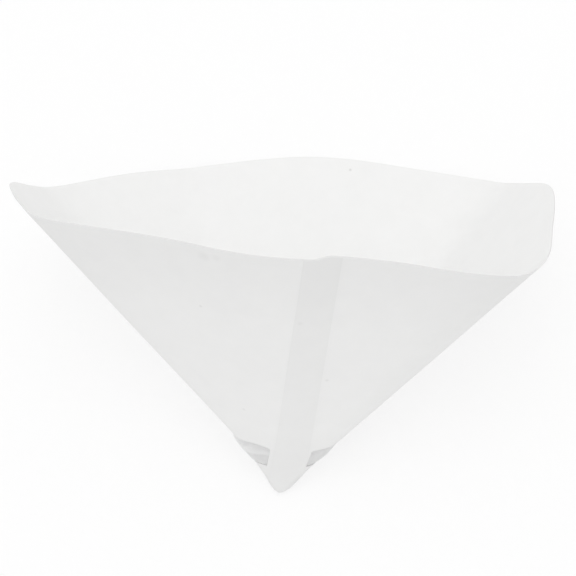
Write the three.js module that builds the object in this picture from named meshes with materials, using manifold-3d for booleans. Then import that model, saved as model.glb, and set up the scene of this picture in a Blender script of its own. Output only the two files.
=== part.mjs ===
// Cone paint strainer: one folded and lapped paper sheet, with a gauze ribbon behind two cut-outs at the tip.
import * as THREE from 'three';
import { LoftGeometry } from 'three/addons/geometries/LoftGeometry.js';
import { mergeVertices } from 'three/addons/utils/BufferGeometryUtils.js';
import Module from 'manifold-3d';

const wasm = await Module();
wasm.setup();

// Driving dimensions, in millimetres and degrees.
// The paper blank is a fan around its point, folded flat along two creases and lapped down one middle.
const PAPER_THICKNESS = 0.26;
// Heights run from the point to the rim: down the middle of each panel, and along each crease to its ear.
const MIDDLE_HEIGHT = { front: 99, back: 99.5 };
const CREASE_HEIGHT = { left: 114.6, right: 111.6 };
const EAR_ROUNDING = { left: 1.3, right: 4 }; // degrees that the cut corner takes to turn
const LAP_REACH = { left: 4.3, right: 5.2 }; // doubled width either side of the lap's middle
const LAP_STEP = 1; // the glued edges don't meet level at the rim
const LAP_FOOT = 7; // the lap is doubled down to this height

// How the opened paper stands: where each wall would reach on a sheet held this far above the point.
const PLAN_HEIGHT = 100;
const SEAM_BEND = { at: [-8.5, -54.7], soft: 0.45 };
const FRONT_RIGHT = { at: [87, -49.3], soft: 0.74 };
const RIGHT_CREASE = { at: [85.9, 16.3], soft: 0.8 };
const BACK_RIGHT = { at: [82.9, 77.5], soft: 0.8 };
const BACK_MIDDLE = { at: [-20, 91.3], soft: 0.3 };
const BACK_SIDE = { at: [-44, 88], soft: 0.7 };
const BACK_LEFT = { at: [-87.4, 52.2], soft: 0.72 };
const LEFT_CREASE = { at: [-83.8, 2.1], soft: 0.7 };
const FRONT_LEFT = { at: [-74.2, -22.7], soft: 0.7 };
const SEAM_OFFSET = 8.8; // degrees round the cone from the seam bend to the middle of the lap

// The tip is a closed pocket that stays nearer its flat-folded state and leans to one side.
const TIP_ROUND = 5;
const TIP_REACH = 30; // the walls run straight from here up
const TIP_LEAN = [-1.5, -2.45, -2.2];
const TIP_PINCH = 0.2;
const TIP_FADE = 2.5; // how fast the lean and the pinch die away up the walls

// The cut-outs are bands that run out through each crease, clear of the middle strips.
const WINDOW_BOTTOM = 10.8;
const WINDOW_TOP = 18;
const WINDOW_SLOPE = { left: 15, right: 1 }; // degrees, down towards the crease
const STRIP_REACH = { left: 5.5, right: 6.2 }; // plain paper either side of a panel's middle

// The gauze ribbon lines the inside of the tip and bulges out of the cut-outs.
const GAUZE_THICKNESS = 0.2;
const GAUZE_CLEARANCE = 0.3;
const GAUZE_MARGIN = 2.6;
const GAUZE_BULGE = { left: 1.6, right: 1.3, underneath: 0.3 };
const GAP_ROWS = 4;
const GAP_COLUMNS = 14;
const RIB_SHARE = 0.42;
const RIDGE_HEIGHT = 0.07;

// How finely the curved sheet is divided.
const BEND_STEPS = 12;
const WALL_COLUMNS = 92;
const WALL_ROWS = 5;
const LAP_COLUMNS = 8;
const STRIP_COLUMNS = 4;
const TIP_ROWS = [0.7, 2.4, 4.2, 6.5, 8.5, 10.5, 12.5, 15, 18, 22, 26];

const radians = THREE.MathUtils.degToRad;

// The closed plan outline, flat walls joined by soft bends, as unit directions from the point.
function wallDirections(corners) {
  const points = corners.map((corner) => new THREE.Vector2(...corner.at));
  const path = new THREE.Path();
  const start = points.map((point, i) => {
    const before = points[(i + points.length - 1) % points.length];
    return point.clone().lerp(before, corners[i].soft / 2);
  });
  const end = points.map((point, i) => {
    const after = points[(i + 1) % points.length];
    return point.clone().lerp(after, corners[i].soft / 2);
  });
  const middle = new THREE.QuadraticBezierCurve(start[0], points[0], end[0]).getPoint(0.5);
  path.moveTo(middle.x, middle.y);
  const half = points[0].clone().lerp(end[0], 0.5);
  path.quadraticCurveTo(half.x, half.y, end[0].x, end[0].y);
  for (let i = 1; i < points.length; i++) {
    path.lineTo(start[i].x, start[i].y);
    path.quadraticCurveTo(points[i].x, points[i].y, end[i].x, end[i].y);
  }
  path.lineTo(start[0].x, start[0].y);
  const last = start[0].clone().lerp(points[0], 0.5);
  path.quadraticCurveTo(last.x, last.y, middle.x, middle.y);
  return path.getPoints(BEND_STEPS).map((p) => new THREE.Vector3(p.x, p.y, PLAN_HEIGHT).normalize());
}

const bends = [SEAM_BEND, FRONT_RIGHT, RIGHT_CREASE, BACK_RIGHT, BACK_MIDDLE, BACK_SIDE, BACK_LEFT,
  LEFT_CREASE, FRONT_LEFT];
const directions = wallDirections(bends);
const meanRise = directions.reduce((sum, direction) => sum + direction.z, 0) / directions.length;

// Running angle round the cone. The blank is only bent, so its flat angles add up the same way.
const around = [0];
directions.forEach((direction, i) => {
  around.push(around[i] + direction.angleTo(directions[(i + 1) % directions.length]));
});
const fullAngle = around.at(-1);
const panelAngle = fullAngle / 2;

// The generator at an angle on the blank, counted from the middle of the lap.
function directionAt(angle) {
  const place = (((angle + radians(SEAM_OFFSET)) % fullAngle) + fullAngle) % fullAngle;
  const i = around.findIndex((value) => value > place) - 1;
  const span = around[i + 1] - around[i];
  const part = place - around[i];
  const from = directions[i].clone().multiplyScalar(Math.sin(span - part));
  const to = directions[(i + 1) % directions.length].clone().multiplyScalar(Math.sin(part));
  return from.add(to).normalize();
}

// The same angle as a turn to the left (below 0) or right of the lap, half way round at most.
function fromLap(angle) {
  return THREE.MathUtils.euclideanModulo(angle + panelAngle, fullAngle) - panelAngle;
}

// Which crease an angle is nearer to.
function sideOf(angle) {
  return fromLap(angle) < 0 ? 'left' : 'right';
}

// Angle from the nearer panel middle: 0 at the lap and down the back, most at the creases.
function fromMiddle(angle) {
  const turned = Math.abs(fromLap(angle));
  return Math.min(turned, panelAngle - turned);
}

// The top edge of the blank: a shallow arc from each panel middle up to a rounded ear at each crease.
function rimDistance(angle) {
  const turn = fromLap(angle);
  const side = sideOf(angle);
  const panel = Math.abs(turn) < panelAngle / 2 ? 'front' : 'back';
  const rounding = radians(EAR_ROUNDING[side]);
  const fromCrease = Math.hypot(panelAngle / 2 - fromMiddle(angle), rounding) - rounding;
  const share = (1 - Math.cos(panelAngle / 2 - fromCrease)) / (1 - Math.cos(panelAngle / 2));
  const height = 1 / THREE.MathUtils.lerp(1 / MIDDLE_HEIGHT[panel], 1 / CREASE_HEIGHT[side], share);
  return height + lapStep(turn);
}

// The mismatch of the two glued edges at the rim, fading away along the panel.
function lapStep(turn) {
  const half = LAP_REACH.right / MIDDLE_HEIGHT.front;
  const rise = THREE.MathUtils.smoothstep(turn, -half / 2, half / 2) - 0.5;
  const fade = 1 - THREE.MathUtils.smoothstep(Math.abs(turn), half, panelAngle / 4);
  return LAP_STEP * rise * fade;
}

// A point of the paper's middle surface, at a distance from the point of the cone along a generator.
function sheetPoint(distance, angle) {
  const point = directionAt(angle);
  const rise = point.z;
  point.multiplyScalar(distance);
  if (distance < TIP_ROUND) {
    const level = THREE.MathUtils.lerp(meanRise, rise, distance / TIP_ROUND);
    point.z = level * (distance ** 2 + TIP_ROUND ** 2) / (2 * TIP_ROUND);
  }
  const pocket = Math.max(0, 1 - distance / TIP_REACH) ** TIP_FADE;
  point.y *= 1 - TIP_PINCH * pocket;
  return point.addScaledVector(new THREE.Vector3(...TIP_LEAN), pocket);
}

// The same place moved off the middle surface, outwards or, with a negative offset, inwards.
function offsetPoint(distance, angle, offset) {
  const turn = fullAngle / WALL_COLUMNS / 4;
  const slide = Math.min(0.2, distance / 4);
  const across = sheetPoint(distance, angle + turn).sub(sheetPoint(distance, angle - turn));
  const along = sheetPoint(distance + slide, angle).sub(sheetPoint(distance - slide, angle));
  return sheetPoint(distance, angle).addScaledVector(across.cross(along).normalize(), offset);
}

// A geometry's shared corners joined, without the empty triangles of a ring that shrinks to a point.
function toSolid(geometry) {
  const bare = new THREE.BufferGeometry();
  bare.setAttribute('position', geometry.getAttribute('position'));
  bare.setIndex(geometry.getIndex());
  const merged = mergeVertices(bare, 1e-4);
  const corners = merged.getIndex().array;
  const kept = [];
  for (let i = 0; i < corners.length; i += 3) {
    const triangle = corners.slice(i, i + 3);
    if (new Set(triangle).size === 3) kept.push(...triangle);
  }
  return new wasm.Manifold(new wasm.Mesh({
    numProp: 3,
    vertProperties: merged.getAttribute('position').array,
    triVerts: new Uint32Array(kept),
  }));
}

function toGeometry(solid) {
  const mesh = solid.getMesh();
  const geometry = new THREE.BufferGeometry();
  geometry.setAttribute('position', new THREE.BufferAttribute(mesh.vertProperties, 3));
  geometry.setIndex(new THREE.BufferAttribute(mesh.triVerts, 1));
  geometry.computeVertexNormals();
  return geometry;
}

// The paper wall as one closed skin: up the outside from the tip, over the rim and down the inside.
function wallSolid() {
  const angles = Array.from({ length: WALL_COLUMNS }, (_, i) => (i / WALL_COLUMNS) * fullAngle);
  const ring = (place, offset) => angles.map((angle) => offsetPoint(place(angle), angle, offset));
  const places = TIP_ROWS.map((distance) => () => distance);
  const top = TIP_ROWS.at(-1);
  for (let row = 1; row <= WALL_ROWS; row++) {
    places.push((angle) => THREE.MathUtils.lerp(top, rimDistance(angle), row / WALL_ROWS));
  }
  const tip = (offset) => angles.map(() => sheetPoint(0, 0).setZ(sheetPoint(0, 0).z - offset));
  const half = PAPER_THICKNESS / 2;
  const outside = [tip(half), ...places.map((place) => ring(place, half))];
  const inside = [tip(-half), ...places.map((place) => ring(place, -half))].reverse();
  return toSolid(new LoftGeometry([...outside, ...inside]));
}

// The doubled strip where one edge of the blank is glued over the other.
function lapSolid() {
  const places = Array.from({ length: LAP_COLUMNS + 1 }, (_, i) => (
    THREE.MathUtils.lerp(-LAP_REACH.left, LAP_REACH.right, i / LAP_COLUMNS)
  ));
  const section = (height) => {
    const place = (x, offset) => {
      const y = height(x);
      return offsetPoint(Math.hypot(x, y), Math.atan2(x, y), offset);
    };
    const outer = places.map((x) => place(x, PAPER_THICKNESS));
    const inner = places.map((x) => place(x, -PAPER_THICKNESS)).reverse();
    return [...inner, ...outer];
  };
  const heights = [LAP_FOOT, ...TIP_ROWS.filter((row) => row > LAP_FOOT)].map((level) => () => level);
  const top = TIP_ROWS.at(-1);
  for (let row = 1; row <= WALL_ROWS; row++) {
    heights.push((x) => {
      const rim = rimDistance(x / MIDDLE_HEIGHT.front) - PAPER_THICKNESS;
      return THREE.MathUtils.lerp(top, Math.sqrt(rim ** 2 - x ** 2), row / WALL_ROWS);
    });
  }
  return toSolid(new LoftGeometry(heights.map(section), { capStart: true, capEnd: true }));
}

// Distance from the point to a slanted line across the flat panel, where it meets a generator.
function bandDistance(level, angle) {
  return level / Math.cos(fromMiddle(angle) - radians(WINDOW_SLOPE[sideOf(angle)]));
}

// Angle from the panel middle at which a slanted line leaves the middle strip.
function stripAngle(level, side) {
  const slope = radians(WINDOW_SLOPE[side]);
  const reach = STRIP_REACH[side];
  return Math.atan2(reach * Math.cos(slope), level - reach * Math.sin(slope));
}

// Angle from a crease to either end of its window.
function windowReach(side) {
  return panelAngle / 2 - stripAngle(WINDOW_TOP, side);
}

// A cutter through the paper for the band-shaped window that wraps one crease.
function windowCutter(side) {
  const crease = side === 'left' ? -panelAngle / 2 : panelAngle / 2;
  const step = fullAngle / WALL_COLUMNS;
  const reach = windowReach(side) - step / 4;
  const count = Math.floor(reach / step);
  const turns = [-reach];
  for (let i = -count; i <= count; i++) turns.push(i * step);
  turns.push(reach);
  const depth = 5 * PAPER_THICKNESS;
  const sections = turns.map((turn) => {
    const angle = crease + turn;
    const strip = STRIP_REACH[side] / Math.sin(fromMiddle(angle));
    const low = Math.max(bandDistance(WINDOW_BOTTOM, angle), strip);
    const high = bandDistance(WINDOW_TOP, angle);
    return [
      offsetPoint(low, angle, -depth),
      offsetPoint(high, angle, -depth),
      offsetPoint(high, angle, depth),
      offsetPoint(low, angle, depth),
    ];
  });
  return toSolid(new LoftGeometry(sections, { capStart: true, capEnd: true }));
}

function paperGeometry() {
  const lapped = wallSolid().add(lapSolid());
  return toGeometry(lapped.subtract(windowCutter('left')).subtract(windowCutter('right')));
}

// Lines that bound alternate ribs and gaps, with a rib at each end.
function ribLines(from, to, gaps) {
  const pitch = (to - from) / (gaps + RIB_SHARE);
  const lines = [];
  for (let i = 0; i <= gaps; i++) {
    lines.push(from + i * pitch);
    lines.push(from + (i + RIB_SHARE) * pitch);
  }
  return lines;
}

// How far the gauze swells out of a window at a level on the band. The wall it lies on holds it in.
function bulge(level, angle) {
  const share = (level - WINDOW_BOTTOM) / (WINDOW_TOP - WINDOW_BOTTOM);
  if (share <= 0 || share >= 1) return 0;
  const side = sideOf(angle);
  const behind = THREE.MathUtils.smoothstep(Math.abs(fromLap(angle)), panelAngle / 2, panelAngle * 0.75);
  const most = THREE.MathUtils.lerp(GAUZE_BULGE[side], GAUZE_BULGE.underneath, behind);
  const open = stripAngle(level, side);
  const rise = THREE.MathUtils.smoothstep(fromMiddle(angle), open, (open + panelAngle / 2) / 2);
  return most * Math.sin(Math.PI * share) * rise;
}

// Grid lines up the cone: numbered rib edges across each window, plain lines over the strips between.
function gauzeColumns() {
  const strip = panelAngle - windowReach('left') - windowReach('right');
  return ['right', 'left'].flatMap((side) => {
    const crease = side === 'right' ? panelAngle / 2 : 1.5 * panelAngle;
    const reach = windowReach(side);
    const ribs = ribLines(crease - reach, crease + reach, GAP_COLUMNS).map((angle, rib) => ({ angle, rib }));
    const between = Array.from({ length: STRIP_COLUMNS - 1 }, (_, i) => (
      { angle: crease + reach + strip * (i + 1) / STRIP_COLUMNS, rib: -1 }
    ));
    return [...ribs, ...between];
  });
}

// Grid lines round the cone: a plain margin above and below the numbered rib edges.
function gauzeRows() {
  const ribs = ribLines(WINDOW_BOTTOM, WINDOW_TOP, GAP_ROWS).map((level, rib) => ({ level, rib }));
  const bottom = { level: WINDOW_BOTTOM - GAUZE_MARGIN, rib: -1 };
  const top = { level: WINDOW_TOP + GAUZE_MARGIN, rib: -1 };
  return [bottom, ...ribs, top];
}

// A closed skin over the filled cells of two facing grids of points that run round the cone.
function gridGeometry(outer, inner, isFilled) {
  const rows = outer[0].length;
  const positions = [...outer, ...inner].flatMap((column) => column.flatMap((point) => point.toArray()));
  const at = (column, row, layer) => (layer * outer.length + column % outer.length) * rows + row;
  const corners = [[0, 0], [1, 0], [1, 1], [0, 1]];
  const beyond = [[0, -1], [1, 0], [0, 1], [-1, 0]];
  const triangles = [];
  const quad = (a, b, c, d) => triangles.push(a, b, c, a, c, d);
  outer.forEach((points, column) => {
    for (let row = 0; row < rows - 1; row++) {
      if (!isFilled(column, row)) continue;
      const front = corners.map(([i, j]) => at(column + i, row + j, 0));
      const back = corners.map(([i, j]) => at(column + i, row + j, 1));
      quad(...front);
      quad(...back.toReversed());
      beyond.forEach(([i, j], side) => {
        const next = (side + 1) % corners.length;
        const open = !isFilled((column + i + outer.length) % outer.length, row + j);
        if (open) quad(front[next], front[side], back[side], back[next]);
      });
    }
  });
  const geometry = new THREE.BufferGeometry();
  geometry.setAttribute('position', new THREE.Float32BufferAttribute(positions, 3));
  geometry.setIndex(triangles);
  geometry.computeVertexNormals();
  return geometry;
}

// The gauze ribbon: ribs that pass over and under each other, with square gaps between them.
function gauzeGeometry() {
  const columns = gauzeColumns();
  const rows = gauzeRows();
  const seat = -(PAPER_THICKNESS + GAUZE_CLEARANCE + GAUZE_THICKNESS / 2 + RIDGE_HEIGHT);
  const ridge = (column, row) => {
    if (column.rib < 0 || row.rib < 0) return 0;
    const over = (Math.floor(column.rib / 2) + Math.floor(row.rib / 2)) % 2 === 0;
    return over ? RIDGE_HEIGHT : -RIDGE_HEIGHT;
  };
  const layer = (shift) => columns.map((column) => rows.map((row) => {
    const offset = seat + ridge(column, row) + bulge(row.level, column.angle) + shift;
    return offsetPoint(bandDistance(row.level, column.angle), column.angle, offset);
  }));
  const opensAfter = (rib, gaps) => rib % 2 === 1 && rib < 2 * gaps;
  const isFilled = (column, row) => {
    if (row < 0 || row > rows.length - 2) return false;
    const { angle, rib } = columns[column];
    if (!opensAfter(rib, GAP_COLUMNS) || !opensAfter(rows[row].rib, GAP_ROWS)) return true;
    const nearer = fromMiddle((angle + columns[column + 1].angle) / 2);
    return bandDistance(rows[row].level, angle) * Math.sin(nearer) <= STRIP_REACH[sideOf(angle)];
  };
  return gridGeometry(layer(GAUZE_THICKNESS / 2), layer(-GAUZE_THICKNESS / 2), isFilled);
}

const paper = new THREE.Mesh(
  paperGeometry(),
  new THREE.MeshStandardMaterial({ color: 0xf2f2f1, roughness: 0.9, metalness: 0 }),
);
paper.name = 'paper_cone';

const gauze = new THREE.Mesh(
  gauzeGeometry(),
  new THREE.MeshStandardMaterial({ color: 0xdcdcda, roughness: 0.6, metalness: 0 }),
);
gauze.name = 'gauze_insert';

// The strainer lies on the flat part of its back wall, point towards -Y and mouth towards +Y.
const lying = new THREE.Group();
const restEdges = [BACK_RIGHT, BACK_MIDDLE].map((corner) => new THREE.Vector3(...corner.at, PLAN_HEIGHT));
const up = restEdges[0].clone().cross(restEdges[1]).normalize();
const mouthward = restEdges[0].clone().add(restEdges[1]).normalize();
const sideways = mouthward.clone().cross(up);
lying.quaternion.setFromRotationMatrix(new THREE.Matrix4().makeBasis(sideways, mouthward, up).transpose());
lying.add(paper, gauze);

const strainer = new THREE.Group();
strainer.add(lying);
strainer.updateMatrixWorld(true);
const extent = new THREE.Box3().setFromObject(strainer, true);
const centre = extent.getCenter(new THREE.Vector3());
lying.position.set(-centre.x, -centre.y, -extent.min.z);

export default strainer;
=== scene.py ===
# %% [markdown]
# # A paper cone strainer
# A strainer like this is one fan of filter paper. It is folded flat along two creases, its two straight
# edges are glued over each other down one side, and squeezing the creases together opens it into a cone.
# Near the closed point a band of paper is cut away round each crease, and fine gauze is glued behind it.
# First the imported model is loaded. It says where everything is, and each piece below takes its place.

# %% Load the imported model
import math

import bmesh
import bpy
import numpy as np
from mathutils import Matrix, Vector


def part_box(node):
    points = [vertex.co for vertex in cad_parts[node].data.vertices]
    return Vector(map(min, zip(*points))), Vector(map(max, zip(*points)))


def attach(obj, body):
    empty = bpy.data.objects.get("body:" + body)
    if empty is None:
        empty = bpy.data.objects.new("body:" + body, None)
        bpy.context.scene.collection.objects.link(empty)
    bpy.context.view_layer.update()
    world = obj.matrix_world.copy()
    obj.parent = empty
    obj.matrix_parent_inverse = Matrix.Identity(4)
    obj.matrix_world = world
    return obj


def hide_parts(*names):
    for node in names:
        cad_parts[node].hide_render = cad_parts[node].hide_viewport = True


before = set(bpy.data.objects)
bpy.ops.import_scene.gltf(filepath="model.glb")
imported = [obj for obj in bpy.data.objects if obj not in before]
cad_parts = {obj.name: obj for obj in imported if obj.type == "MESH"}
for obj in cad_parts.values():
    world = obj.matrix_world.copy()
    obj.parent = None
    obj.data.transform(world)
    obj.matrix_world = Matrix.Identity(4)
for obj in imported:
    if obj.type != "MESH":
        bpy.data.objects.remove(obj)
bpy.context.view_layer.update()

print("nodes:", sorted(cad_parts))

# %% [markdown]
# ## The sizes of the sheet
# Paper only bends, it doesn't stretch. So every line from the point of the cone to its rim stays straight,
# and the shape is known once we know in which direction each of those lines runs. The sheet could be
# modelled by pulling a cone about with a lattice, but then nothing would keep it flat between its bends.
# Instead we draw where the lines meet a level plane 100 mm above the point: flat walls with soft bends
# between them. Each bend is a corner point and a share, 0 for a sharp corner and 1 for a full curve.

# %% Sizes of the sheet, in millimetres and degrees
PAPER = 0.26
PLAN_HEIGHT = 100
BENDS = [
    ((-8.5, -54.7), 0.45),
    ((87.0, -49.3), 0.74),
    ((85.9, 16.3), 0.8),
    ((82.9, 77.5), 0.8),
    ((-20.0, 91.3), 0.3),
    ((-44.0, 88.0), 0.7),
    ((-87.4, 52.2), 0.72),
    ((-83.8, 2.1), 0.7),
    ((-74.2, -22.7), 0.7),
]
BEND_STEPS = 24
LAP_PLACE = math.radians(8.8)
MIDDLE_HEIGHT = {"front": 99.0, "back": 99.5}
CREASE_HEIGHT = {"left": 114.6, "right": 111.6}
EAR_ROUNDING = {"left": math.radians(1.3), "right": math.radians(4)}
LAP_LEFT, LAP_RIGHT = 4.3, 5.2
LAP_STEP = 1.7
LAP_FOOT = 1.5


# %% Directions of the lines that run up the sheet
def plan_outline():
    corners = np.array([bend[0] for bend in BENDS])
    share = np.array([bend[1] for bend in BENDS])[:, None] / 2
    start = corners + (np.roll(corners, 1, axis=0) - corners) * share
    end = corners + (np.roll(corners, -1, axis=0) - corners) * share
    t = np.linspace(0, 1, BEND_STEPS + 1)[:, None]
    curves = [(1 - t) ** 2 * a + 2 * t * (1 - t) * b + t**2 * c for a, b, c in zip(start, corners, end)]
    return np.roll(np.concatenate(curves), -(BEND_STEPS // 2), axis=0)


def unit(vectors):
    return vectors / np.linalg.norm(vectors, axis=-1, keepdims=True)


def angle_between(a, b):
    return 2 * np.arcsin(np.linalg.norm(a - b, axis=-1) / 2)


outline = plan_outline()
lines = unit(np.column_stack([outline, np.full(len(outline), PLAN_HEIGHT)]))
around = np.concatenate([[0], np.cumsum(angle_between(lines, np.roll(lines, -1, axis=0)))])
FULL = around[-1]
PANEL = FULL / 2
MEAN_RISE = lines[:, 2].mean()
print(f"each flat panel of the sheet spans {math.degrees(PANEL):.1f} degrees at its point")


def line_at(angle):
    """Direction of the line at an angle on the flat sheet, counted from the middle of the lap."""
    place = np.mod(angle + LAP_PLACE, FULL)
    i = np.clip(np.searchsorted(around, place, side="right") - 1, 0, len(lines) - 1)
    span = around[i + 1] - around[i]
    part = place - around[i]
    a = lines[i] * np.sin(span - part)[..., None]
    b = lines[(i + 1) % len(lines)] * np.sin(part)[..., None]
    return unit(a + b)


# %% [markdown]
# ## The top edge and the tip
# The blank is cut with one shallow arc across each panel, so it is longest at the creases, and when the
# cone is opened those long corners stand up as ears. The edge could be traced, but the rule of a straight
# cut across a flat panel gives the right curve by itself: 1 over the length changes evenly with the cosine.
# In the photograph the edge wanders by up to a millimetre about that curve, because the blank wasn't cut
# quite true. So a short list says how far the knife strayed at each angle, and is added to the rule.
# The tip isn't a sharp point. It is a small closed pocket that has stayed pinched and leans forwards.


# %% The rim and the tip
def smooth(value, low, high):
    t = np.clip((value - low) / (high - low), 0, 1)
    return t * t * (3 - 2 * t)


def from_lap(angle):
    return np.mod(angle + PANEL, FULL) - PANEL


def from_middle(angle):
    turn = np.abs(from_lap(angle))
    return np.minimum(turn, PANEL - turn)


def cut_distance(angle):
    """Length of the blank along a line, from the point to the arc that it was meant to be cut to."""
    turn = from_lap(angle)
    ear = np.where(turn < 0, CREASE_HEIGHT["left"], CREASE_HEIGHT["right"])
    rounding = np.where(turn < 0, EAR_ROUNDING["left"], EAR_ROUNDING["right"])
    middle = np.where(np.abs(turn) < PANEL / 2, MIDDLE_HEIGHT["front"], MIDDLE_HEIGHT["back"])
    from_crease = np.hypot(PANEL / 2 - from_middle(angle), rounding) - rounding
    share = (1 - np.cos(PANEL / 2 - from_crease)) / (1 - math.cos(PANEL / 2))
    half = LAP_RIGHT / MIDDLE_HEIGHT["front"]
    step = (smooth(turn, -half / 2, half / 2) - 0.5) * (1 - smooth(np.abs(turn), half, PANEL / 4))
    return 1 / ((1 - share) / middle + share / ear) + LAP_STEP * step


UNEVEN_CUT = [
    (-112, 0.5), (-96, 0.1), (-84, -0.3), (-66, -0.9), (-60, 0.1), (-44, 0.5), (-27, -0.7),
    (-12, 0.2), (0, 0.3), (9, -0.4), (16, -0.5), (27, 0.7), (32, 0.2), (38, 1.2), (46, 0.1),
    (58, 0.3), (67, -0.4), (79, 0.9), (95, -0.1), (112, 0.5),
]


def uneven_cut(angle):
    """How far the knife strayed from the arc, eased from one place to the next."""
    place = np.degrees(from_lap(angle))
    at, stray = np.array(UNEVEN_CUT, float).T
    i = np.clip(np.searchsorted(at, place) - 1, 0, len(at) - 2)
    share = smooth(place, at[i], at[i + 1])
    return stray[i] + (stray[i + 1] - stray[i]) * share


def rim_distance(angle):
    return cut_distance(angle) + uneven_cut(angle)


print(f"the blank is {rim_distance(0.0):.1f} mm long at the lap, and {rim_distance(-PANEL / 2):.1f} and "
      f"{rim_distance(PANEL / 2):.1f} mm at its creases")

TIP_ROUND = 5.0
TIP_REACH = 30.0
TIP_LEAN = np.array([-1.5, -2.45, -2.2])
TIP_PINCH = 0.2
TIP_FADE = 2.5


def sheet_point(distance, angle):
    """A point of the middle of the paper's thickness, in millimetres from the ideal point of the cone."""
    distance, angle = np.broadcast_arrays(np.asarray(distance, float), np.asarray(angle, float))
    way = line_at(angle)
    point = way * distance[..., None]
    inside = distance < TIP_ROUND
    level = MEAN_RISE + (way[..., 2] - MEAN_RISE) * distance / TIP_ROUND
    bowl = level * (distance**2 + TIP_ROUND**2) / (2 * TIP_ROUND)
    point[..., 2] = np.where(inside, bowl, point[..., 2])
    pocket = np.clip(1 - distance / TIP_REACH, 0, None) ** TIP_FADE
    point[..., 1] *= 1 - TIP_PINCH * pocket
    return point + pocket[..., None] * TIP_LEAN


def offset_point(distance, angle, offset):
    """The same place moved off the middle of the paper, outwards or, with a negative offset, inwards."""
    turn = FULL / 368
    slide = np.minimum(0.2, distance / 4)
    across = sheet_point(distance, angle + turn) - sheet_point(distance, angle - turn)
    along = sheet_point(distance + slide, angle) - sheet_point(distance - slide, angle)
    out = unit(np.cross(across, along))
    return sheet_point(distance, angle) + out * np.asarray(offset)[..., None]


# %% [markdown]
# ## How it lies
# The sheet is worked out standing on its point, as the photograph shows it. By itself it can't stand so,
# and it lies on the flat strip of its back wall. One rotation brings it there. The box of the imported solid
# gives the rest of the move, so the two models share one place.

# %% From the standing sheet to the lying one
rest_edges = np.array([[*BENDS[i][0], PLAN_HEIGHT] for i in (3, 4)], float)
up = unit(np.cross(rest_edges[0], rest_edges[1]))
mouthward = unit(rest_edges.sum(axis=0))
turned = np.array([np.cross(mouthward, up), mouthward, up])
every_angle = np.linspace(0, FULL, 721)[:-1]
rim_points = offset_point(cut_distance(every_angle), every_angle, np.full(720, PAPER / 2)) @ turned.T
low, high = (np.array(corner) * 1000 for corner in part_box("paper_cone"))
shift = np.array([
    (low[0] + high[0]) / 2 - (rim_points[:, 0].min() + rim_points[:, 0].max()) / 2,
    high[1] - rim_points[:, 1].max(),
    PAPER / 2,
])
print("the ideal point of the cone lies at", np.round(shift, 2), "mm")


def lay(points):
    """Standing points in millimetres to lying points in metres."""
    return (np.asarray(points) @ turned.T + shift) / 1000


# %% [markdown]
# ## The windows
# The cut-outs are slanted bands. On the flat panel each is a straight strip, cut square where it meets the
# plain middle of the panel. In the photograph the upper edge rises a little on its way to the crease, and on
# the right the short side leans, so both have a small number of their own.
# A boolean would cut them, but it leaves ragged edges on a sheet this thin.
# Instead a simple measure says how far inside the band a place lies, and every square of the grid that the
# zero line crosses is trimmed along it. Neighbours share the trimmed corners, so the sheet stays whole.

# %% The measure of the window
WINDOW_BOTTOM = {"left": 10.8, "right": 11.4}
WINDOW_TOP = 18.0
WINDOW_SLOPE = {"left": math.radians(15), "right": math.radians(1)}
STRIP_REACH = {"left": 5.5, "right": 6.0}
STRIP_LEAN = {"left": 0.0, "right": 0.12}
TOP_ARCH = {"left": 0.95, "right": 1.5}
ARCH_START = math.radians(18)
CORNER_SOFTNESS = 0.12


def by_side(pair, angle):
    return np.where(from_lap(angle) < 0, pair["left"], pair["right"])


def band_level(distance, angle):
    return distance * np.cos(from_middle(angle) - by_side(WINDOW_SLOPE, angle))


def window_top(angle):
    """The upper edge of the cut-out, which rises a little between the strip and the crease."""
    across = np.clip((from_middle(angle) - ARCH_START) / (PANEL / 2 - ARCH_START), 0, 1)
    return WINDOW_TOP + by_side(TOP_ARCH, angle) * np.sin(math.pi * across**0.8)


def inside_window(distance, angle):
    """Above 0 inside a cut-out, below 0 on paper, in millimetres, with slightly rounded corners."""
    level = band_level(distance, angle)
    reach = by_side(STRIP_REACH, angle) - by_side(STRIP_LEAN, angle) * (WINDOW_TOP - level)
    beside = distance * np.sin(from_middle(angle)) - reach
    above = level - by_side(WINDOW_BOTTOM, angle)
    sides = np.stack(np.broadcast_arrays(above, window_top(angle) - level, beside))
    return -CORNER_SOFTNESS * np.log(np.exp(-np.clip(sides, -30, 30) / CORNER_SOFTNESS).sum(axis=0))


# %% The grid of the sheet
COLUMNS = 360
ROW_STEP = 0.45
UPPER_ROWS = 42


def trimmed(corner, value, places, cuts):
    """The part of one grid square that is paper. Each cut edge gets one corner that both sides share."""
    kept = []
    for k in range(len(corner)):
        a, b = corner[k], corner[(k + 1) % len(corner)]
        if value[a] <= 0:
            kept.append(a)
        if (value[a] <= 0) != (value[b] <= 0):
            key = (min(a, b), max(a, b))
            if key not in cuts:
                t = value[key[0]] / (value[key[0]] - value[key[1]])
                first, second = places[key[0]], places[key[1]]
                turn = from_lap(second[1] - first[1])
                cuts[key] = len(places)
                places.append((first[0] + t * (second[0] - first[0]), first[1] + t * turn))
            kept.append(cuts[key])
    return kept


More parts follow.
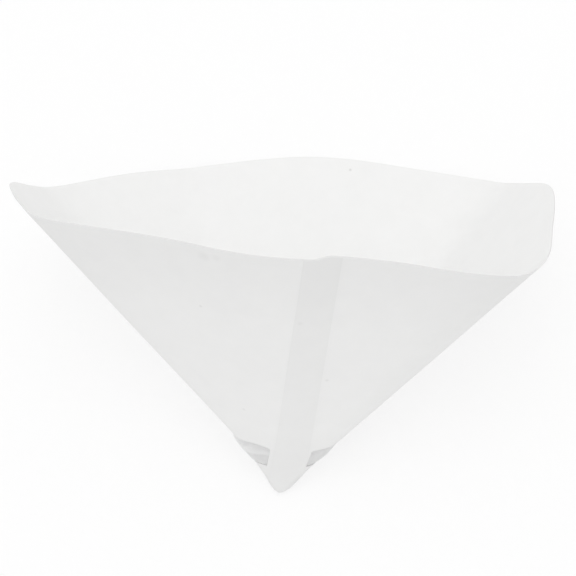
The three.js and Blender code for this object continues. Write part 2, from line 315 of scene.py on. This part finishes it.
def wall_grid():
    """Places on the sheet, as distance and angle, and the polygons between them."""
    lower = list(np.arange(ROW_STEP, TIP_REACH - 4, ROW_STEP))
    angles = np.arange(COLUMNS) * FULL / COLUMNS
    rims = rim_distance(angles)
    places = [(d, a) for d in lower for a in angles]
    for row in range(1, UPPER_ROWS + 1):
        share = row / UPPER_ROWS
        places += [(lower[-1] + share * (rim - lower[-1]), a) for rim, a in zip(rims, angles)]
    value = inside_window(*np.array(places).T)
    rows = len(places) // COLUMNS
    cuts, polygons = {}, []
    for row in range(rows - 1):
        for column in range(COLUMNS):
            beyond = (column + 1) % COLUMNS
            square = [row * COLUMNS + column, row * COLUMNS + beyond]
            square += [(row + 1) * COLUMNS + beyond, (row + 1) * COLUMNS + column]
            if all(value[k] <= 0 for k in square):
                polygons.append(square)
            elif any(value[k] <= 0 for k in square):
                polygon = trimmed(square, value, places, cuts)
                if len(set(polygon)) > 2:
                    polygons.append(polygon)
    places.append((0.0, 0.0))
    polygons += [[len(places) - 1, (c + 1) % COLUMNS, c] for c in range(COLUMNS)]
    return places, polygons


# %% [markdown]
# ## From a sheet to paper
# Real paper has a thickness, and here its edge shows all along the rim as a thin pale line. Solidify would
# make that edge, but it would also smooth the light round it. So the two skins are made by hand, one half
# a thickness out and one half in, and joined along each open edge. The edges are then marked sharp.
# Outside, cut edge and inside get a slot each, because they are finished differently: the outside carries
# painted shade at the point and towards the rim, and the cut edge is greyer as painted shade. Each point also
# keeps its place on the flat blank, so that tones and marks can be laid on the paper as it was before folding.
# A few slow waves, a tenth of a millimetre high, keep the walls from looking machined.


# %% Slow waves and the two skins
def waves(distance, angle):
    height = np.sin(5 * angle + distance / 13) + np.sin(11 * angle - distance / 21 + 1.3)
    return 0.06 * height * smooth(distance, 34, 90)


def two_skins(places, polygons, middle, thickness, first_turn=0.0):
    """A closed mesh on both sides of the sheet, and the place of each point on the flat blank in metres."""
    distance, angle = np.array(places).T
    centre = middle + waves(distance, angle)
    outer = offset_point(np.maximum(distance, 0.05), angle, centre + thickness / 2)
    inner = offset_point(np.maximum(distance, 0.05), angle, centre - thickness / 2)
    count = len(places)
    turn = np.mod(angle - first_turn, FULL) + first_turn - PANEL
    blank = np.column_stack([distance * np.sin(turn), distance * np.cos(turn), np.zeros(count)]) / 1000
    faces = [list(p) for p in polygons] + [[k + count for k in reversed(p)] for p in polygons]
    one_way = {(p[k], p[(k + 1) % len(p)]) for p in polygons for k in range(len(p))}
    for a, b in sorted(one_way):
        if (b, a) not in one_way:
            faces.append([b, a, a + count, b + count])
    return np.concatenate([outer, inner]), faces, np.concatenate([blank, blank])


def make_piece(name, points, faces, blank):
    mesh = bpy.data.meshes.new(name)
    mesh.from_pydata([tuple(p) for p in lay(points)], [], faces)
    mesh.attributes.new("blank", "FLOAT_VECTOR", "POINT").data.foreach_set("vector", blank.ravel())
    half = len(points) // 2
    on_side = [0 if max(face) < half else 2 if min(face) >= half else 1 for face in faces]
    mesh.polygons.foreach_set("material_index", on_side)
    used = bmesh.new()
    used.from_mesh(mesh)
    bmesh.ops.delete(used, geom=[v for v in used.verts if not v.link_faces], context="VERTS")
    bmesh.ops.recalc_face_normals(used, faces=used.faces)
    used.to_mesh(mesh)
    used.free()
    mesh.shade_smooth()
    mesh.set_sharp_from_angle(angle=math.radians(35))
    piece = bpy.data.objects.new(name, mesh)
    bpy.context.scene.collection.objects.link(piece)
    print(name, "has", len(mesh.polygons), "faces")
    return piece


# %% The folded wall
wall = make_piece("folded_paper_wall", *two_skins(*wall_grid(), 0.0, PAPER))

# %% [markdown]
# ## The lap
# One edge of the blank is glued over the other, so a straight strip down the front is two layers thick.
# It runs square to the flat panel, not along the lines that meet at the point, and its top corners don't
# quite meet. Each face of the strip is a thin skin of its own on the wall, so its edges catch the light.


# %% The strip where the edges overlap
def lap_grid():
    columns, rows = 12, 110
    across = np.linspace(-LAP_LEFT, LAP_RIGHT, columns + 1)
    rim = rim_distance(across / MIDDLE_HEIGHT["front"]) - PAPER
    top = np.sqrt(rim**2 - across**2)
    places = []
    for row in range(rows + 1):
        height = LAP_FOOT + (top - LAP_FOOT) * row / rows
        places += list(zip(np.hypot(across, height), np.arctan2(across, height)))
    polygons = []
    for row in range(rows):
        for column in range(columns):
            first = row * (columns + 1) + column
            polygons.append([first, first + 1, first + columns + 2, first + columns + 1])
    return places, polygons


LAYER = PAPER / 2
LAYER_SEAT = PAPER / 2 + LAYER / 2 - 0.01
lap_outside = make_piece("lap_outside", *two_skins(*lap_grid(), LAYER_SEAT, LAYER, PANEL))
lap_inside = make_piece("lap_inside", *two_skins(*lap_grid(), -LAYER_SEAT, LAYER, PANEL))

# %% [markdown]
# ## The gauze
# The gauze is a plain weave of fine nylon thread. At the photograph's size its holes are smaller than a
# pixel, so an image of a weave would do, but close up it would look printed. Each thread is modelled here:
# a curve that dips under and over the threads that cross it. The gauze is one ribbon round the inside of the
# tip, glued to the paper above, below and between the windows. It is woven here as two halves, one round
# each crease, whose threads run along and across the crease and meet behind the lap and behind the back.
# Where no paper backs it, it swells out of the window, most near the lower edge. On the left the photograph
# shows one soft fold across the swelling as a lighter streak. The stretches of thread along the fold get a
# paler finish of their own, a painted highlight along its crest.

# %% Sizes of the gauze
GAUZE_TONES = ("no_highlight", "near_fold_highlight", "fold")
THREAD = 0.19
PITCH = 0.3
GAUZE_SEAT = -0.32
GLUED_EDGE = 1.3
BULGE = {"left": 0.75, "right": 0.8}
FOLD = {"left": 0.45, "right": 0.0}
FOLD_PLACE = 0.6
FOLD_WIDTH = 0.14
BULGE_UNDERNEATH = 0.3


def strip_angle(level, angle):
    reach, slope = by_side(STRIP_REACH, angle), by_side(WINDOW_SLOPE, angle)
    return np.arctan2(reach * np.cos(slope), level - reach * np.sin(slope))


def fold_share(share):
    """1 on the crest of the fold, falling to 0 beside it; the share is 0 at the lower edge, 1 at the upper."""
    return np.exp(-(((share - FOLD_PLACE) / FOLD_WIDTH) ** 2))


def bulge(distance, angle):
    """How far the gauze stands out of the window, in millimetres."""
    level = band_level(distance, angle)
    low = by_side(WINDOW_BOTTOM, angle)
    share = np.clip((level - low) / (window_top(angle) - low), 0, 1)
    most = by_side(BULGE, angle)
    most = most + (BULGE_UNDERNEATH - most) * smooth(np.abs(from_lap(angle)), PANEL / 2, PANEL * 0.75)
    start = strip_angle(level, angle)
    rise = smooth(from_middle(angle), start, (start + PANEL / 2) / 2)
    swell = share**0.6 * (1 - share) ** 1.3 / 0.306
    return (most * swell + by_side(FOLD, angle) * fold_share(share) * np.sin(math.pi * share)) * rise


def on_ribbon(distance, angle):
    """True where the ribbon of gauze lies: behind the windows, their glued margin and the strips between."""
    level = band_level(distance, angle)
    above_foot, below_top = level - by_side(WINDOW_BOTTOM, angle), window_top(angle) - level
    return np.minimum(above_foot, below_top) > -GLUED_EDGE


# %% The threads
def thread_runs(side, crosswise, place, number):
    """The stretches of one thread that lie on the ribbon, each with its tone."""
    half = np.arange(-118, 119)
    along = half * PITCH / 2 + (0 if crosswise else 68 * PITCH)
    p, q = (along, np.full(len(along), place)) if crosswise else (np.full(len(along), place), along)
    distance = np.hypot(p, q)
    angle = side * PANEL / 2 + np.arctan2(p, q)
    near = on_ribbon(distance, angle) & (q > 2) & (np.abs(np.arctan2(p, q)) < PANEL / 2)
    steps = np.round(along / PITCH * 2).astype(int)
    ripple = THREAD * 0.5 * np.cos(math.pi * steps / 2 + math.pi * number + (0 if crosswise else math.pi))
    points = offset_point(distance, angle, GAUZE_SEAT + bulge(distance, angle) + ripple)
    low = by_side(WINDOW_BOTTOM, angle)
    share = (band_level(distance, angle) - low) / (window_top(angle) - low)
    front = np.abs(from_lap(angle)) < PANEL / 2
    # Stretches near the fold crest get paler tones: a painted highlight.
    fold_highlight = np.digitize(fold_share(share), (0.4, 0.75)) * (by_side(FOLD, angle) > 0) * front
    runs, current, tone = [], [], 0
    for keep, point, next_tone in zip(near, lay(points), fold_highlight):
        if current and (not keep or next_tone != tone):
            runs.append((current + [point] if keep else current, tone))
            current = []
        if keep:
            current.append(point)
        tone = next_tone
    return [(run, tone) for run, tone in runs + [(current, tone)] if len(run) > 1]


def weave_gauze(name, side):
    curve = bpy.data.curves.new(name, "CURVE")
    curve.dimensions = "3D"
    curve.bevel_depth = THREAD / 2 / 1000
    curve.bevel_resolution = 0
    for _ in GAUZE_TONES:
        curve.materials.append(None)
    for crosswise in (True, False):
        for number in range(-50, 118):
            place = number * PITCH
            for run, tone in thread_runs(side, crosswise, place, number):
                spline = curve.splines.new("POLY")
                spline.material_index = int(tone)
                spline.points.add(len(run) - 1)
                spline.points.foreach_set("co", np.column_stack([run, np.ones(len(run))]).ravel())
    piece = bpy.data.objects.new(name, curve)
    bpy.context.scene.collection.objects.link(piece)
    print(name, "has", len(curve.splines), "stretches of thread,", THREAD, "mm thick and", PITCH, "mm apart")
    return piece


gauze_left = weave_gauze("gauze_left", -1)
gauze_right = weave_gauze("gauze_right", 1)

# %% [markdown]
# ## The paper's finish
# Uncoated filter paper is matt and a little cloudy: the fibres lie unevenly, so it is faintly mottled when
# light comes through, and its face has a fine tooth. One node group gives both, so that the wall and the
# lap share the same sheet but can be set to their own strength. A photograph of paper could be mapped on
# instead, but a made-up noise has no seam and holds at any distance.


# %% A node group for paper fibres
def new_group(name, inputs, outputs):
    group = bpy.data.node_groups.new(name, "ShaderNodeTree")
    for label, kind, value in inputs:
        socket = group.interface.new_socket(name=label, in_out="INPUT", socket_type=kind)
        socket.default_value = value
    for label, kind in outputs:
        group.interface.new_socket(name=label, in_out="OUTPUT", socket_type=kind)
    return group, group.nodes.new("NodeGroupInput"), group.nodes.new("NodeGroupOutput")


def paper_fibre_group():
    inputs = [
        ("Vector", "NodeSocketVector", (0, 0, 0)),
        ("Cloud size", "NodeSocketFloat", 150.0),
        ("Fibre size", "NodeSocketFloat", 1400.0),
    ]
    outputs = [("Cloud", "NodeSocketFloat"), ("Tooth", "NodeSocketFloat")]
    group, given, result = new_group("paper_fibre", inputs, outputs)
    cloud = group.nodes.new("ShaderNodeTexNoise")
    cloud.inputs["Detail"].default_value = 4
    cloud.inputs["Roughness"].default_value = 0.6
    tooth = group.nodes.new("ShaderNodeTexNoise")
    tooth.inputs["Detail"].default_value = 3
    tooth.inputs["Distortion"].default_value = 1.5
    group.links.new(given.outputs["Vector"], cloud.inputs["Vector"])
    group.links.new(given.outputs["Vector"], tooth.inputs["Vector"])
    group.links.new(given.outputs["Cloud size"], cloud.inputs["Scale"])
    group.links.new(given.outputs["Fibre size"], tooth.inputs["Scale"])
    group.links.new(cloud.outputs["Fac"], result.inputs["Cloud"])
    group.links.new(tooth.outputs["Fac"], result.inputs["Tooth"])
    return group


paper_fibre = paper_fibre_group()


# %% [markdown]
# ## Marks on the paper
# The photograph shows a faint grey smudge by the left half of the front rim, and a few specks that such
# cheap paper has. Each is a soft round spot on the flat blank: full in its middle and gone at its radius.
# They could be drawn on an image, but a list of places is easy to change and stays sharp close up. A second
# node group gives one spot's mask, and the material lays the spots on its colour one after another.

# %% A node group for soft spots
def soft_spot_group():
    inputs = [
        ("Vector", "NodeSocketVector", (0, 0, 0)),
        ("Centre", "NodeSocketVector", (0, 0, 0)),
        ("Radius", "NodeSocketFloat", 0.001),
    ]
    group, given, result = new_group("soft_spot", inputs, [("Mask", "NodeSocketFloat")])
    apart = group.nodes.new("ShaderNodeVectorMath")
    apart.operation = "DISTANCE"
    fall = group.nodes.new("ShaderNodeMapRange")
    fall.interpolation_type = "SMOOTHSTEP"
    fall.inputs["To Min"].default_value = 1.0
    fall.inputs["To Max"].default_value = 0.0
    group.links.new(given.outputs["Vector"], apart.inputs[0])
    group.links.new(given.outputs["Centre"], apart.inputs[1])
    group.links.new(apart.outputs["Value"], fall.inputs["Value"])
    group.links.new(given.outputs["Radius"], fall.inputs["From Max"])
    group.links.new(fall.outputs["Result"], result.inputs["Mask"])
    return group


soft_spot = soft_spot_group()


# %% The marks
def on_blank(distance, from_lap_degrees):
    """A place on the flat blank, in metres, from its distance to the point and its angle from the lap."""
    turn = math.radians(from_lap_degrees) % FULL - PANEL
    return (distance * math.sin(turn) / 1000, distance * math.cos(turn) / 1000, 0.0)


# distance to the point in mm, angle from the lap in degrees, radius in mm, depth
MARKS = [
    (96.4, -17.6, 2.6, 0.07),
    (96.6, -15.6, 1.8, 0.05),
    (88.6, 1.8, 1.6, 0.03),
    (76.1, -22.4, 0.7, 0.13),
    (97.3, 101.5, 0.65, 0.24),
    (73.5, -2.2, 1.1, 0.05),
    (50.4, 7.5, 0.75, 0.12),
    (34.3, -24.8, 0.8, 0.1),
]


def add_marks(nodes, links, place, colour):
    """Darken a colour by each small mark in turn, and give back the last socket."""
    for distance, angle, radius, depth in MARKS:
        spot = nodes.new("ShaderNodeGroup")
        spot.node_tree = soft_spot
        spot.inputs["Centre"].default_value = on_blank(distance, angle)
        spot.inputs["Radius"].default_value = radius / 1000
        links.new(place, spot.inputs["Vector"])
        amount = nodes.new("ShaderNodeMath")
        amount.operation = "MULTIPLY"
        amount.inputs[1].default_value = depth
        links.new(spot.outputs["Mask"], amount.inputs[0])
        darker = nodes.new("ShaderNodeMix")
        darker.data_type = "RGBA"
        darker.inputs["B"].default_value = (0.2, 0.19, 0.18, 1)
        links.new(amount.outputs["Value"], darker.inputs["Factor"])
        links.new(colour, darker.inputs["A"])
        colour = darker.outputs["Result"]
    return colour


# %% [markdown]
# ## The paper materials
# The paper has a very slightly warm white. Outside it is a shade greyer at the point and towards the rim:
# painted shade, which a ramp along the length of the blank sets. The lap is two layers thick and lets less
# light through, which shows as a greyer strip, and its own ramp paints it greyer towards the rim as shade.
# The cut edge is greyer still, a painted shade, and draws the thin line that the photograph shows along the
# rim.


# %% The paper materials
def new_material(name):
    material = bpy.data.materials.new(name)
    material.use_nodes = True
    return material, material.node_tree.nodes, material.node_tree.links


def paper_material(name, dark, light, painted_shade_steps=(1.0, 1.0, 1.0, 1.0)):
    """Mottled paper. The last numbers are painted shade: its tone at the point, just above it, half way up and
    at the rim.
    """
    material, nodes, links = new_material(name)
    shader = nodes["Principled BSDF"]
    shader.inputs["Roughness"].default_value = 0.9
    shader.inputs["Specular IOR Level"].default_value = 0.25
    place = nodes.new("ShaderNodeTexCoord")
    blank = nodes.new("ShaderNodeAttribute")
    blank.attribute_name = "blank"
    fibre = nodes.new("ShaderNodeGroup")
    fibre.node_tree = paper_fibre
    links.new(place.outputs["Object"], fibre.inputs["Vector"])
    tone = nodes.new("ShaderNodeMix")
    tone.data_type = "RGBA"
    tone.inputs["A"].default_value = (dark, dark, dark - 0.005, 1)
    tone.inputs["B"].default_value = (light, light, light - 0.005, 1)
    links.new(fibre.outputs["Cloud"], tone.inputs["Factor"])
    length = nodes.new("ShaderNodeVectorMath")
    length.operation = "LENGTH"
    links.new(blank.outputs["Vector"], length.inputs[0])
    height = nodes.new("ShaderNodeMapRange")
    height.inputs["From Max"].default_value = 0.1
    links.new(length.outputs["Value"], height.inputs["Value"])
    shade = nodes.new("ShaderNodeValToRGB")
    shade.color_ramp.interpolation = "EASE"
    steps = shade.color_ramp.elements
    steps[0].position = 0.05
    steps.new(0.3)
    steps.new(0.65)
    for step, grey in zip(steps, painted_shade_steps):
        step.color = (grey, grey, grey, 1)
    links.new(height.outputs["Result"], shade.inputs["Fac"])
    shaded = nodes.new("ShaderNodeMix")
    shaded.data_type = "RGBA"
    shaded.blend_type = "MULTIPLY"
    shaded.inputs["Factor"].default_value = 1.0
    links.new(tone.outputs["Result"], shaded.inputs["A"])
    links.new(shade.outputs["Color"], shaded.inputs["B"])
    marked = add_marks(nodes, links, blank.outputs["Vector"], shaded.outputs["Result"])
    links.new(marked, shader.inputs["Base Color"])
    bump = nodes.new("ShaderNodeBump")
    bump.inputs["Strength"].default_value = 0.25
    bump.inputs["Distance"].default_value = 0.00004
    links.new(fibre.outputs["Tooth"], bump.inputs["Height"])
    links.new(bump.outputs["Normal"], shader.inputs["Normal"])
    return material


paper_inside = paper_material("paper_inside", 0.845, 0.885)
# The outside gets painted shade: greyer at the point and towards the rim.
paper_outside_painted_shade = paper_material("paper_outside_painted_shade", 0.855, 0.895, (0.96, 1.01, 1.0, 0.965))
# The lap is greyer as two layers, and its ramp adds painted shade at the point and towards the rim.
paper_doubled_painted_shade = paper_material("paper_two_layers_painted_shade", 0.84, 0.875, (0.97, 1.0, 0.98, 0.945))
# The cut edge is darker than the paper: painted shade along the rim.
cut_edge_painted_shade = paper_material("paper_cut_edge", 0.73, 0.77)
for piece, sheets in (
    (wall, (paper_outside_painted_shade, cut_edge_painted_shade, paper_inside)),
    (lap_outside, (paper_doubled_painted_shade, paper_doubled_painted_shade, paper_doubled_painted_shade)),
    (lap_inside, (paper_doubled_painted_shade, paper_doubled_painted_shade, paper_doubled_painted_shade)),
):
    for sheet in sheets:
        piece.data.materials.append(sheet)
print("the paper carries", len(MARKS), "marks")

# %% [markdown]
# ## The thread's finish
# Nylon thread is pale and slightly glossy. A faint change of tone along it, from a coarse noise, keeps the
# weave from looking like wire. Along the fold in the left window the same finish is two steps paler, a painted
# highlight.

# %% The gauze materials
def nylon_material(name, dark, light):
    material, nodes, links = new_material(name)
    shader = nodes["Principled BSDF"]
    shader.inputs["Roughness"].default_value = 0.45
    place = nodes.new("ShaderNodeTexCoord")
    noise = nodes.new("ShaderNodeTexNoise")
    noise.inputs["Scale"].default_value = 600
    tone = nodes.new("ShaderNodeMix")
    tone.data_type = "RGBA"
    tone.inputs["A"].default_value = (dark, dark, dark, 1)
    tone.inputs["B"].default_value = (light, light, light, 1)
    links.new(place.outputs["Object"], noise.inputs["Vector"])
    links.new(noise.outputs["Fac"], tone.inputs["Factor"])
    links.new(tone.outputs["Result"], shader.inputs["Base Color"])
    return material


# The two paler ranges paint the highlight along the fold in the left window.
NYLON_RANGES = ((0.88, 0.95), (0.93, 0.97), (0.97, 0.99))
for slot, (label, (dark, light)) in enumerate(zip(GAUZE_TONES, NYLON_RANGES)):
    nylon = nylon_material("nylon_" + label, dark, light)
    for gauze in (gauze_left, gauze_right):
        gauze.data.materials[slot] = nylon

# %% [markdown]
# ## Where each piece belongs
# Each piece rides on the one body of the part and stands for a node of the imported model.

# %% Tie the pieces to the imported model
for piece in (wall, lap_outside, lap_inside):
    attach(piece, "root")
    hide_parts("paper_cone")
for piece in (gauze_left, gauze_right):
    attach(piece, "root")
    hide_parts("gauze_insert")
print("two nodes are dressed: paper_cone by three pieces, gauze_insert by two")

# %% [markdown]
# ## The floor
# The photograph is a plain white studio shot. A pale floor stands for it, wide enough to fill the frame.
# More light would turn it white, but it would burn out the paper too. So three quarters of what the camera
# sees of the floor, directly or in a reflection, is plain white, and the rest keeps the soft shadow.


# %% The floor
def looked_at(nodes, links):
    """1 for what the camera sees directly, in a reflection or through something clear, 0 for plain light."""
    seen = nodes.new("ShaderNodeLightPath")
    ray = seen.outputs["Is Camera Ray"]
    for kind in ("Is Glossy Ray", "Is Transmission Ray"):
        either = nodes.new("ShaderNodeMath")
        either.operation = "MAXIMUM"
        links.new(ray, either.inputs[0])
        links.new(seen.outputs[kind], either.inputs[1])
        ray = either.outputs["Value"]
    return ray


floor_mesh = bpy.data.meshes.new("floor")
HALF_FLOOR = 3.0
corners = [(HALF_FLOOR * x, HALF_FLOOR * y, 0) for x, y in ((-1, -1), (1, -1), (1, 1), (-1, 1))]
floor_mesh.from_pydata(corners, [], [(0, 1, 2, 3)])
floor = bpy.data.objects.new("floor", floor_mesh)
bpy.context.scene.collection.objects.link(floor)
floor_material, nodes, links = new_material("pale_floor")
nodes["Principled BSDF"].inputs["Base Color"].default_value = (0.93, 0.93, 0.93, 1)
nodes["Principled BSDF"].inputs["Roughness"].default_value = 0.95
nodes["Principled BSDF"].inputs["Specular IOR Level"].default_value = 0.1
white = nodes.new("ShaderNodeEmission")
white.inputs["Strength"].default_value = 1.0
share = nodes.new("ShaderNodeMath")
share.operation = "MULTIPLY"
share.inputs[1].default_value = 0.75
whitened = nodes.new("ShaderNodeMixShader")
links.new(looked_at(nodes, links), share.inputs[0])
links.new(share.outputs["Value"], whitened.inputs["Fac"])
links.new(nodes["Principled BSDF"].outputs["BSDF"], whitened.inputs[1])
links.new(white.outputs["Emission"], whitened.inputs[2])
links.new(whitened.outputs["Shader"], nodes["Material Output"].inputs["Surface"])
floor_mesh.materials.append(floor_material)

# %% [markdown]
# ## The light
# The paper's tones are almost even, so most of the light comes from all round. Where the camera looks past
# the floor it sees plain white, which hides the floor's far edge. Three large soft lamps give the rest: one
# overhead, a weak one that lifts the left wall, and one above the mouth that lifts the inside. Their
# strength was set by comparing the tones of the render and the photograph over the whole cone.

# %% The light from all round
world = bpy.data.worlds.new("studio")
bpy.context.scene.world = world
world.use_nodes = True
nodes, links = world.node_tree.nodes, world.node_tree.links
nodes["Background"].inputs["Color"].default_value = (1, 1, 1, 1)
nodes["Background"].inputs["Strength"].default_value = 0.85
backdrop = nodes.new("ShaderNodeBackground")
backdrop.inputs["Color"].default_value = (1, 1, 1, 1)
backdrop.inputs["Strength"].default_value = 1.0
chosen = nodes.new("ShaderNodeMixShader")
links.new(looked_at(nodes, links), chosen.inputs["Fac"])
links.new(nodes["Background"].outputs["Background"], chosen.inputs[1])
links.new(backdrop.outputs["Background"], chosen.inputs[2])
links.new(chosen.outputs["Shader"], nodes["World Output"].inputs["Surface"])


# %% The lamps
def soft_lamp(name, place, size, power):
    light = bpy.data.lights.new(name, "AREA")
    light.shape = "DISK"
    light.size = size
    light.energy = power
    lamp = bpy.data.objects.new(name, light)
    lamp.location = place
    lamp.rotation_euler = (Vector((0, 0, 0.03)) - Vector(place)).to_track_quat("-Z", "Y").to_euler()
    bpy.context.scene.collection.objects.link(lamp)


soft_lamp("lamp_overhead", (0, 0.1, 1.4), 0.9, 3.2)
soft_lamp("lamp_at_the_left", (-1.0, 0.2, 1.0), 0.9, 0.5)
soft_lamp("lamp_above_the_mouth", (0.1, 0.55, 1.3), 0.9, 1.0)
print("lamps:", sorted(light.name for light in bpy.data.lights))

# %% [markdown]
# ## The camera
# The photograph looks at the standing cone from a little above, so seen from the lying cone the camera
# hangs almost straight overhead. Its place is worked out in the standing frame and turned with the sheet.

# %% The camera
PIXEL = 0.28
CAMERA_DISTANCE = 2200 * PIXEL
DOWNWARD = math.radians(22)
camera_right = np.array([1.0, 0, 0])
camera_up = np.array([0, math.sin(DOWNWARD), math.cos(DOWNWARD)])
camera_view = np.array([0, math.cos(DOWNWARD), -math.sin(DOWNWARD)])
eye = 3.4 * PIXEL * camera_right + 199.6 * PIXEL * camera_up - CAMERA_DISTANCE * camera_view
camera_data = bpy.data.cameras.new("camera")
camera_data.angle = 2 * math.atan(288 / 2200)
camera_data.clip_start = 0.01
camera = bpy.data.objects.new("camera", camera_data)
axes = Matrix([turned @ camera_right, turned @ camera_up, -(turned @ camera_view)]).transposed()
camera.matrix_world = Matrix.Translation(lay(eye)) @ axes.to_4x4()
bpy.context.scene.collection.objects.link(camera)
bpy.context.scene.camera = camera
bpy.context.scene.view_settings.view_transform = "Standard"
print("camera at", [round(v, 3) for v in camera.matrix_world.translation])

# %% Finish
bpy.context.view_layer.update()
